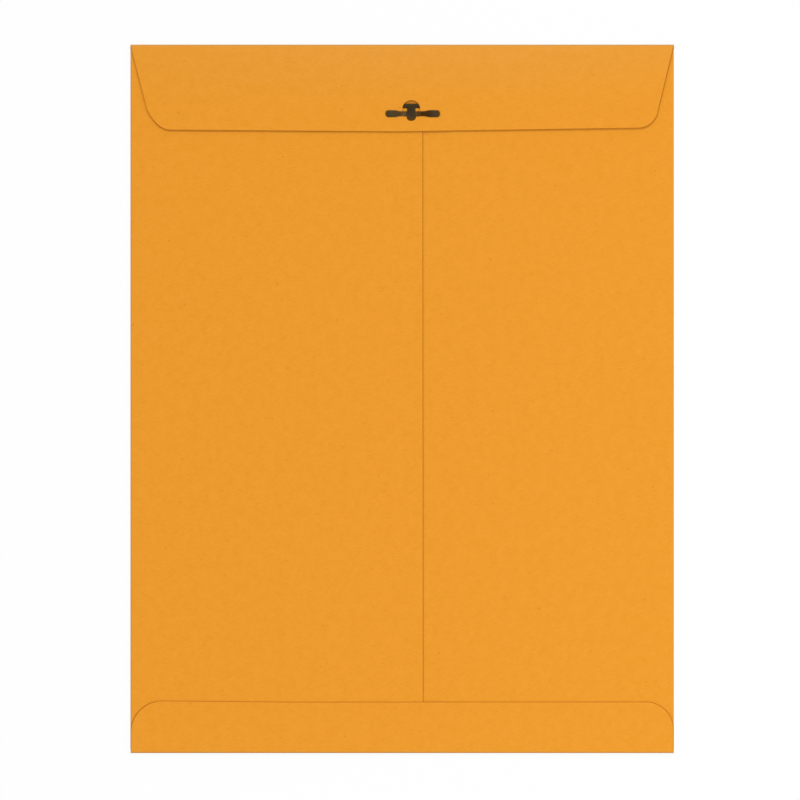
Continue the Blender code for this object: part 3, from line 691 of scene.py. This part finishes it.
def fold_flap(flap):
    """Folds the flap down over the mouth, and tells how worn its paper is and how much painted sheen it takes."""
    wear, rub = [], []
    for v in flap.verts:
        beyond = v.co.y - FLAP_FOLD_Y
        wear.append(crease_wear(beyond, FLAP_RADIUS))
        # painted sheen, fading down the flap from its crease
        sheen_share = (1 - smoothstep(0, SHEEN_REACH, beyond)) ** SHEEN_FALL * bell(v.co.x - SHEEN_X, SHEEN_SPREAD)
        rub.append(SHEEN_LEAST + (1 - SHEEN_LEAST) * sheen_share)
        v.co.y, v.co.z = folded(v.co.y, v.co.z, FLAP_FOLD_Y, FLAP_RADIUS)
        if beyond > math.pi * FLAP_RADIUS:
            v.co.z += flap_lift(v.co.x, v.co.y)
    return wear, rub


def seal_flap(material):
    """The top flap with its crease, cut flat with its hole punched, and folded down over the mouth."""
    flap = die_cut([flap_outline(), hole_outline(flat_flap)], flap_crush_and_shade)
    size = cut_size(flap)
    score_flap(flap)
    thicken(flap, 0, PAPER)
    wear, rub = fold_flap(flap)
    return piece("seal_flap_sheet", flap, material, wear=wear, rub=rub), size


# Paste, gum and patches


def film(name, outlines, like, rise, material):
    """A flat layer where a CAD node lies, cut to outlines, that follows the paper it lies on."""
    low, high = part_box(like)
    sheet = die_cut(outlines)
    score(sheet, ACROSS, grid_lines(low.x, high.x))
    score(sheet, ALONG, grid_lines(low.y, high.y))
    thicken(sheet, low.z, high.z - low.z)
    for v in sheet.verts:
        v.co.z += rise(v.co.x, v.co.y)
    return piece(name, sheet, material)


def seam_paste(material):
    """A strip of paste where the side panels overlap, with a slit for the clasp's left tooth."""
    low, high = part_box("seam_glue")
    width = SEAM_OVERLAP - 2 * SEAM_PASTE_INSET
    right_low, right_high = (seam_x(y) - SEAM_PASTE_INSET for y in (low.y, high.y))
    outline = [
        (right_low - width, low.y, 0),
        (right_low, low.y, 0),
        (right_high, high.y, 0),
        (right_high - width, high.y, 0),
    ]
    return film("seam_paste", [outline, tooth_slits()[0]], "seam_glue", panel_swell, material)


def bottom_flap_paste(material):
    """Paste under the bottom flap, which follows its edge and its round corners."""
    low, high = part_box("bottom_flap_glue")
    inset = BOTTOM_PASTE_INSET
    outline = [
        (low.x, low.y, 0),
        (high.x, low.y, 0),
        (high.x, BOTTOM_FLAP_RIGHT.y - inset, BOTTOM_FLAP_ROUND_RIGHT - inset),
        (BOTTOM_FLAP_TURN.x, BOTTOM_FLAP_TURN.y - inset, 0),
        (low.x, BOTTOM_FLAP_LEFT.y - inset, BOTTOM_FLAP_ROUND_LEFT - inset),
    ]
    return film("bottom_flap_paste", [outline], "bottom_flap_glue", lambda x, y: 0, material)


def gum_band(name, like, corner, corner_round, material):
    """Dry gum along one half of the flap's lower edge, on its inside."""
    side = math.copysign(1, corner.x)
    low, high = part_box(like)
    inner = low.x if side > 0 else high.x
    outer = corner + Vector((-side * GUM_INSET, GUM_INSET))
    inner_y = edge_y(FLAP_POINT, FLAP_LEFT, FLAP_RIGHT, inner) + GUM_INSET
    slant = (HALF_FLAP - abs(corner.x)) / (TOP - corner.y)
    outline = [
        (outer.x, outer.y, corner_round - GUM_INSET),
        (inner, inner_y, 0),
        (inner, inner_y + GUM_BAND, 0),
        (outer.x + side * slant * GUM_BAND, outer.y + GUM_BAND, 0),
    ]
    return film(name, [outline if side < 0 else outline[::-1]], like, flap_lift, material)


def patch(name, like, holes, rise, material):
    """A patch of paper with round corners where a CAD node lies, which strengthens what is punched in it."""
    low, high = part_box(like)
    corners = ((low.x, low.y), (high.x, low.y), (high.x, high.y), (low.x, high.y))
    outline = [(x, y, PATCH_ROUND) for x, y in corners]
    return film(name, [outline, *holes], like, rise, material)


# Clasp


def drawn_out(metal, faces, move):
    """Draws faces out by a move, with walls behind them. The faces that they came from stay."""
    grown = bmesh.ops.extrude_face_region(metal, geom=faces)
    moved = [v for v in grown["geom"] if isinstance(v, bmesh.types.BMVert)]
    bmesh.ops.translate(metal, verts=moved, vec=move)


def round_edges(metal, turn, clamp_overlap=False):
    """Rounds the edges at which metal turns by more than an angle, as stamping and tumbling leave them."""
    edges = [e for e in metal.edges if len(e.link_faces) == 2 and e.calc_face_angle() > turn]
    bmesh.ops.bevel(
        metal,
        geom=edges,
        offset=EDGE_ROUND,
        offset_type="OFFSET",
        segments=EDGE_STEPS,
        profile=0.5,
        affect="EDGES",
        material=-1,
        clamp_overlap=clamp_overlap,
    )


def clasp_plate(material):
    """The stamped base: cross bar with its ends turned down and clinched as teeth, stem and round tab."""
    plate = bmesh.new()
    corners = [
        (-TAB_HALF, TAB_END, TAB_HALF),
        (TAB_HALF, TAB_END, TAB_HALF),
        (TAB_HALF, TAB_TOP, 0),
        (STEM_HALF, TAB_TOP, 0),
        (STEM_HALF, BAR_LOW, 0),
        (BAR_HALF, BAR_LOW, 0),
        (BAR_HALF, BAR_HIGH, 0),
        (-BAR_HALF, BAR_HIGH, 0),
        (-BAR_HALF, BAR_LOW, 0),
        (-STEM_HALF, BAR_LOW, 0),
        (-STEM_HALF, TAB_TOP, 0),
        (-TAB_HALF, TAB_TOP, 0),
    ]
    rounded_face(plate, corners)
    bmesh.ops.translate(plate, verts=plate.verts[:], vec=(*CLASP, CLASP_Z))
    bend = BAR_HALF - METAL
    score(plate, ACROSS, [CLASP.x + side * bend for side in (-1, 1)])
    drawn_out(plate, plate.faces[:], (0, 0, METAL))
    bmesh.ops.recalc_face_normals(plate, faces=plate.faces[:])

    def from_stem(face):
        return face.calc_center_median().x - CLASP.x

    ends = [f for f in plate.faces if f.normal.z < -FACING and abs(from_stem(f)) > bend]
    drawn_out(plate, ends, (0, 0, CLINCH_Z - CLASP_Z))
    bmesh.ops.delete(plate, geom=ends, context="FACES_ONLY")
    score(plate, UP, [CLINCH_Z + METAL])
    for side in (-1, 1):
        low = [f for f in plate.faces if f.calc_center_median().z < CLINCH_Z + METAL]
        inner = [f for f in low if f.normal.x * side < -FACING and from_stem(f) * side > 0]
        drawn_out(plate, inner, (-side * (bend - TOOTH_TIP), 0, 0))
        bmesh.ops.delete(plate, geom=inner, context="FACES_ONLY")
    bmesh.ops.remove_doubles(plate, verts=plate.verts[:], dist=NEAR)
    bmesh.ops.recalc_face_normals(plate, faces=plate.faces[:])
    round_edges(plate, SHARP_TURN)
    return piece("clasp_plate", plate, material)


def clasp_wing(name, side, reach, material):
    """A prong bent up out of the hole and out over the flap: narrow at its root, crowned, round at its end.
    With it come the places between which it leaves the base and turns with its joint."""
    wing = bmesh.new()
    blank = [
        (STEM_HALF, -PRONG_END_HALF, 0),
        (reach, -PRONG_END_HALF, PRONG_TIP_ROUND),
        (reach, PRONG_END_HALF, PRONG_TIP_ROUND),
        (STEM_HALF, PRONG_END_HALF, 0),
    ]
    rounded_face(wing, blank)
    score(wing, ACROSS, steps(STEM_HALF, reach - STEM_HALF, PRONG_LINES)[:-1])
    score(wing, ALONG, steps(-PRONG_END_HALF, 2 * PRONG_END_HALF, 2 * PRONG_STRIPS)[:-1])
    widening = [share * reach for share in PRONG_WIDENING]
    for v in wing.verts:
        out, across, _ = v.co
        half = PRONG_ROOT_HALF + (PRONG_END_HALF - PRONG_ROOT_HALF) * smoothstep(*widening, out)
        level = smoothstep(*PRONG_RAMP, out)
        crown = PRONG_CROWN * level * (across / PRONG_END_HALF) ** 2
        height = PRONG_BASE_Z + level * (PRONG_Z - PRONG_BASE_Z) - crown
        v.co = (CLASP.x + side * out, CLASP.y + across * half / PRONG_END_HALF, height)
    wing.normal_update()
    bmesh.ops.reverse_faces(wing, faces=[f for f in wing.faces if f.normal.z < 0])
    bmesh.ops.translate(wing, verts=wing.verts[:], vec=(0, 0, METAL / 2))
    bmesh.ops.solidify(wing, geom=wing.faces[:], thickness=METAL)
    bmesh.ops.recalc_face_normals(wing, faces=wing.faces[:])
    round_edges(wing, RIM_TURN, clamp_overlap=True)
    start, end = ((CLASP.x + side * out, CLASP.y, PRONG_BASE_Z) for out in (STEM_HALF, PRONG_RAMP[0]))
    return piece(name, wing, material), start, end


# Materials


def node(tree, kind, inputs=None, **settings):
    """Adds a node with its settings; an input is a value, or a socket to link from."""
    made = tree.nodes.new(kind)
    for name, value in settings.items():
        setattr(made, name, value)
    for key, value in (inputs or {}).items():
        if isinstance(value, bpy.types.NodeSocket):
            tree.links.new(value, made.inputs[key])
        else:
            made.inputs[key].default_value = value
    return made


def ranged(tree, value, low, high, to_low=0.0, to_high=1.0):
    """A value's place between two bounds, as a share or on a range of its own."""
    inputs = {"Value": value, "From Min": low, "From Max": high, "To Min": to_low, "To Max": to_high}
    return node(tree, "ShaderNodeMapRange", inputs).outputs[0]


def calculated(tree, operation, first, second, **settings):
    """What an operation makes of two values."""
    return node(tree, "ShaderNodeMath", {0: first, 1: second}, operation=operation, **settings).outputs[0]


def mixed(tree, share, first, second):
    """A colour that goes from the first to the second by a share."""
    inputs = {"Factor": share, "A": first, "B": second}
    return node(tree, "ShaderNodeMix", inputs, data_type="RGBA").outputs["Result"]


def noise(tree, place, size=1.0, dimensions="3D", **inputs):
    """A cloudy pattern whose clouds have about a size."""
    inputs = {"Vector": place, "Scale": 1 / size, **inputs}
    return node(tree, "ShaderNodeTexNoise", inputs, noise_dimensions=dimensions).outputs["Fac"]


def stretched(tree, place, sizes, turn=0.0):
    """A place turned and then measured in a size along each axis, for patterns longer than they are wide."""
    inputs = {"Vector": place, "Rotation": (0, 0, turn), "Scale": [1 / size for size in sizes]}
    return node(tree, "ShaderNodeMapping", inputs).outputs["Vector"]


def flat_map(tree):
    """Places on the flat sheet, in metres."""
    return node(tree, "ShaderNodeUVMap", uv_map="flat").outputs["UV"]


def new_material(name):
    """A material with its node tree and its shader."""
    material = bpy.data.materials.new(name)
    material.use_nodes = True
    return material, material.node_tree, material.node_tree.nodes["Principled BSDF"]


def coat(tree, shader, colour, rough, height, strength, depth):
    """Gives a shader its colour, its roughness and a relief of a strength and depth."""
    bump = node(tree, "ShaderNodeBump", {"Height": height, "Strength": strength, "Distance": depth})
    for name, source in (("Base Color", colour), ("Roughness", rough), ("Normal", bump.outputs[0])):
        tree.links.new(source, shader.inputs[name])


def with_fibres(tree, flat, colour):
    """The colour with short fibres in it, paler and darker, lying every way."""
    for turn, width, share, tint in FIBRES:
        laid = stretched(tree, flat, (FIBRE_LENGTH, width, 1), turn)
        strands = noise(tree, laid, dimensions="2D", Detail=1.0, Distortion=FIBRE_BEND)
        seen = ranged(tree, strands, *FIBRE_SEEN, to_high=share)
        colour = mixed(tree, seen, colour, linear(tint))
    return colour


def with_flecks(tree, flat, colour):
    """The colour with a few small flecks of bark in it."""
    flecks = node(
        tree,
        "ShaderNodeTexVoronoi",
        {"Vector": flat, "Scale": 1 / FLECK_SPACING, "Randomness": 1.0},
        voronoi_dimensions="2D",
        feature="F1",
    )
    near = ranged(tree, flecks.outputs["Distance"], *FLECK_EDGE, to_high=FLECK_SHARE)
    draw = node(tree, "ShaderNodeSeparateColor", {"Color": flecks.outputs["Color"]}).outputs["Red"]
    chosen = calculated(tree, "GREATER_THAN", draw, FLECK_LEFT_OUT)
    return mixed(tree, calculated(tree, "MULTIPLY", near, chosen), colour, linear(FLECK_TONE))


def with_marks(tree, mottle, colour):
    """The colour with the marks in it that the mesh carries, a little uneven."""
    for attribute, least, most, tint in MARKS:
        uneven = ranged(tree, mottle, *NOISE, least, most)
        mark = node(tree, "ShaderNodeAttribute", attribute_name=attribute).outputs["Fac"]
        amount = calculated(tree, "MULTIPLY", mark, uneven, use_clamp=True)
        colour = mixed(tree, amount, colour, linear(tint))
    return colour


def kraft_paper():
    """Golden machine-made kraft: matte, faintly mottled where the pulp settled, with short fibres lying every
    way, a few flecks of bark and creases worn paler. A painted sheen lies on the flap, and painted shade lies
    along the crushed cut edges and in the clasp's hole."""
    material, tree, shader = new_material("golden_kraft_paper")
    flat = flat_map(tree)
    mottle = noise(tree, flat, KRAFT_MOTTLE, "2D", Detail=4.0, Roughness=0.65)
    colour = mixed(tree, ranged(tree, mottle, *NOISE), *(linear(tone) for tone in KRAFT_TONES))
    colour = with_fibres(tree, flat, colour)
    colour = with_flecks(tree, flat, colour)
    colour = with_marks(tree, mottle, colour)
    rough = ranged(tree, mottle, *NOISE, *KRAFT_ROUGHNESS)
    shader.inputs["Specular IOR Level"].default_value = KRAFT_GLOSS
    coat(tree, shader, colour, rough, mottle, *KRAFT_RELIEF)
    return material


def streaked_film(name, dark, light, roughness, streak):
    """A brushed-on film that dried in streaks along its strip, smoother and shinier than kraft paper. With
    short streaks and rougher, it is the thin plain paper of a patch."""
    material, tree, shader = new_material(name)
    streaks = noise(tree, stretched(tree, flat_map(tree), streak), dimensions="2D", Detail=3.0)
    colour = mixed(tree, ranged(tree, streaks, *NOISE), linear(dark), linear(light))
    rough = ranged(tree, streaks, 0, 1, roughness - FILM_SMOOTHER, roughness + FILM_ROUGHER)
    coat(tree, shader, colour, rough, streaks, *FILM_RELIEF)
    return material


def bronze_plated_steel():
    """Soft stamped steel with a dark bronze-coloured wash: satin and unevenly toned, with painted highlights at
    the prongs' bends, painted reflections on the prongs and painted shade on the stem and bar.
    """
    material, tree, shader = new_material("bronze_plated_steel")
    place = node(tree, "ShaderNodeTexCoord").outputs["Object"]
    about = node(tree, "ShaderNodeMapping", {"Vector": place, "Location": (-CLASP.x, -CLASP.y, 0)})
    out, up, _ = node(tree, "ShaderNodeSeparateXYZ", {"Vector": about.outputs["Vector"]}).outputs
    drift = ranged(tree, noise(tree, place, WASH, Detail=3.0), 0, 1, -WASH_DRIFT, WASH_DRIFT)
    out = calculated(tree, "ADD", out, drift)
    tones = node(tree, "ShaderNodeValToRGB", {"Fac": ranged(tree, out, -TONE_REACH, TONE_REACH)})
    stops = tones.color_ramp.elements
    for offset, tone in PLATING_TONES:
        stops.new((offset * MM / TONE_REACH + 1) / 2).color = linear(tone)
    stops.remove(stops[-1])
    stops.remove(stops[0])
    colour = tones.outputs["Color"]
    for start, end, tone in (BAR_TONE, TAB_TONE):
        colour = mixed(tree, ranged(tree, up, start, end), colour, linear(tone))
    lines = noise(tree, stretched(tree, place, ROLLING), Detail=2.0)
    rough = ranged(tree, lines, *NOISE, *STEEL_ROUGHNESS)
    shader.inputs["Metallic"].default_value = 1.0
    coat(tree, shader, colour, rough, lines, *STEEL_RELIEF)
    return material


# Floor, light and camera


def direct_rays(tree):
    """1 for what the camera sees itself, in a reflection or through glass, and 0 for light."""
    rays = node(tree, "ShaderNodeLightPath").outputs
    seen = calculated(tree, "MAXIMUM", rays["Is Camera Ray"], rays["Is Glossy Ray"])
    return calculated(tree, "MAXIMUM", seen, rays["Is Transmission Ray"])


def white_floor():
    """A white sweep under the envelope: the eye sees it near white, with the envelope's soft shadow."""
    ground = bmesh.new()
    bmesh.ops.create_grid(ground, x_segments=2, y_segments=2, size=FLOOR_HALF)
    bmesh.ops.translate(ground, verts=ground.verts[:], vec=(0, 0, -FLOOR_DROP))
    material, tree, shader = new_material("white_paper_sweep")
    shader.inputs["Base Color"].default_value = linear(FLOOR_TONE)
    shader.inputs["Roughness"].default_value = FLOOR_ROUGHNESS
    shader.inputs["Specular IOR Level"].default_value = 0.0
    share = calculated(tree, "MULTIPLY", direct_rays(tree), FLOOR_GLOW)
    white = node(tree, "ShaderNodeEmission", {"Color": WHITE, "Strength": 1.0}).outputs[0]
    surface = node(tree, "ShaderNodeMixShader", {0: share, 1: shader.outputs[0], 2: white}).outputs[0]
    tree.links.new(surface, tree.nodes["Material Output"].inputs["Surface"])
    return piece("floor", ground, material)


def studio_dome():
    """A white room: even light from all round, and white where the camera looks past the floor."""
    world = bpy.data.worlds.new("studio_dome")
    world.use_nodes = True
    tree = world.node_tree
    back = tree.nodes["Background"]
    back.inputs["Color"].default_value = WHITE
    tree.links.new(ranged(tree, direct_rays(tree), 0, 1, AMBIENT, 1.0), back.inputs["Strength"])
    bpy.context.scene.world = world


def lamp(light, place):
    """A lamp that shines from a place towards the envelope's middle."""
    made = bpy.data.objects.new(light.name, light)
    made.location = place
    made.rotation_euler = Vector(place).to_track_quat("Z", "Y").to_euler()
    bpy.context.scene.collection.objects.link(made)


def key_light():
    """A wide far lamp above the flap, which gives its share of the light on the flat paper."""
    light = bpy.data.lights.new("key", "SUN")
    light.angle = KEY_SPREAD
    light.energy = KEY_SHARE * math.pi / Vector(KEY_PLACE).normalized().z
    lamp(light, KEY_PLACE)


def fill_light():
    """A near soft lamp to the lower right, which lights that side of the paper a little more."""
    light = bpy.data.lights.new("fill", "AREA")
    light.size = FILL_SIZE
    light.energy = FILL_WATTS
    lamp(light, FILL_PLACE)


def overhead_camera():
    """Straight down on the clasp side, at the photograph's scale on the envelope's middle layer."""
    data = bpy.data.cameras.new("overhead")
    data.lens = LENS
    data.sensor_width = SENSOR
    camera = bpy.data.objects.new("overhead", data)
    frame_half = FRAME_PIXELS / 2
    height = frame_half * PIXEL / (SENSOR / 2 / LENS)
    across = (frame_half - MIDDLE_PIXEL[0]) * PIXEL
    along = (MIDDLE_PIXEL[1] - frame_half) * PIXEL
    camera.location = (across, along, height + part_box("flap_fold")[1].z / 2)
    bpy.context.scene.collection.objects.link(camera)
    bpy.context.scene.camera = camera


# Envelope

kraft = kraft_paper()
gum = streaked_film("dry_gum", *DRY_GUM)
paste = streaked_film("dried_paste", *DRIED_PASTE)
patch_paper = streaked_film("patch_paper", *PATCH_PAPER)
steel = bronze_plated_steel()

body, body_size = envelope_body(kraft)
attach(body, "pocket")
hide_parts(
    "front_panel",
    "left_side_fold",
    "right_side_fold",
    "bottom_fold",
    "left_back_panel",
    "right_back_panel",
    "bottom_flap",
)

flap, flap_size = seal_flap(kraft)
# The crease turns at its outermost line, and stands up as a ridge when the flap is open
crease_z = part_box("flap_fold")[1].z / 2
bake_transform(flap, "pocket", "flap", start=(0, TOP, crease_z - RIDGE_HALF), end=(0, TOP, crease_z + RIDGE_HALF))
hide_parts("seal_flap", "flap_fold")

seam = seam_paste(paste)
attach(seam, "pocket")
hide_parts("seam_glue")

bottom_paste = bottom_flap_paste(paste)
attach(bottom_paste, "pocket")
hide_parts("bottom_flap_glue")

for band_name, like, corner, corner_round in (
    ("gum_band_left", "flap_gum_left", FLAP_LEFT, FLAP_ROUND_LEFT),
    ("gum_band_right", "flap_gum_right", FLAP_RIGHT, FLAP_ROUND_RIGHT),
):
    band = gum_band(band_name, like, corner, corner_round, gum)
    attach(band, "flap")
    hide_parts(like)

hole_patch = patch("hole_patch", "flap_hole_patch", [hole_outline()], flap_lift, patch_paper)
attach(hole_patch, "flap")
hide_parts("flap_hole_patch")

backing = patch("clasp_backing", "clasp_backing_patch", tooth_slits(), panel_swell, patch_paper)
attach(backing, "pocket")
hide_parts("clasp_backing_patch")

plate = clasp_plate(steel)
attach(plate, "pocket")
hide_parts("clasp_base")

for side_name, side, reach in (("left", -1, PRONG_REACH_LEFT), ("right", 1, PRONG_REACH_RIGHT)):
    wing, start, end = clasp_wing(f"clasp_wing_{side_name}", side, reach, steel)
    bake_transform(wing, "pocket", f"prong_{side_name}", start=start, end=end)
    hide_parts(f"clasp_prong_{side_name}")

white_floor()
studio_dome()
key_light()
fill_light()
overhead_camera()
bpy.context.scene.view_settings.view_transform = "Standard"
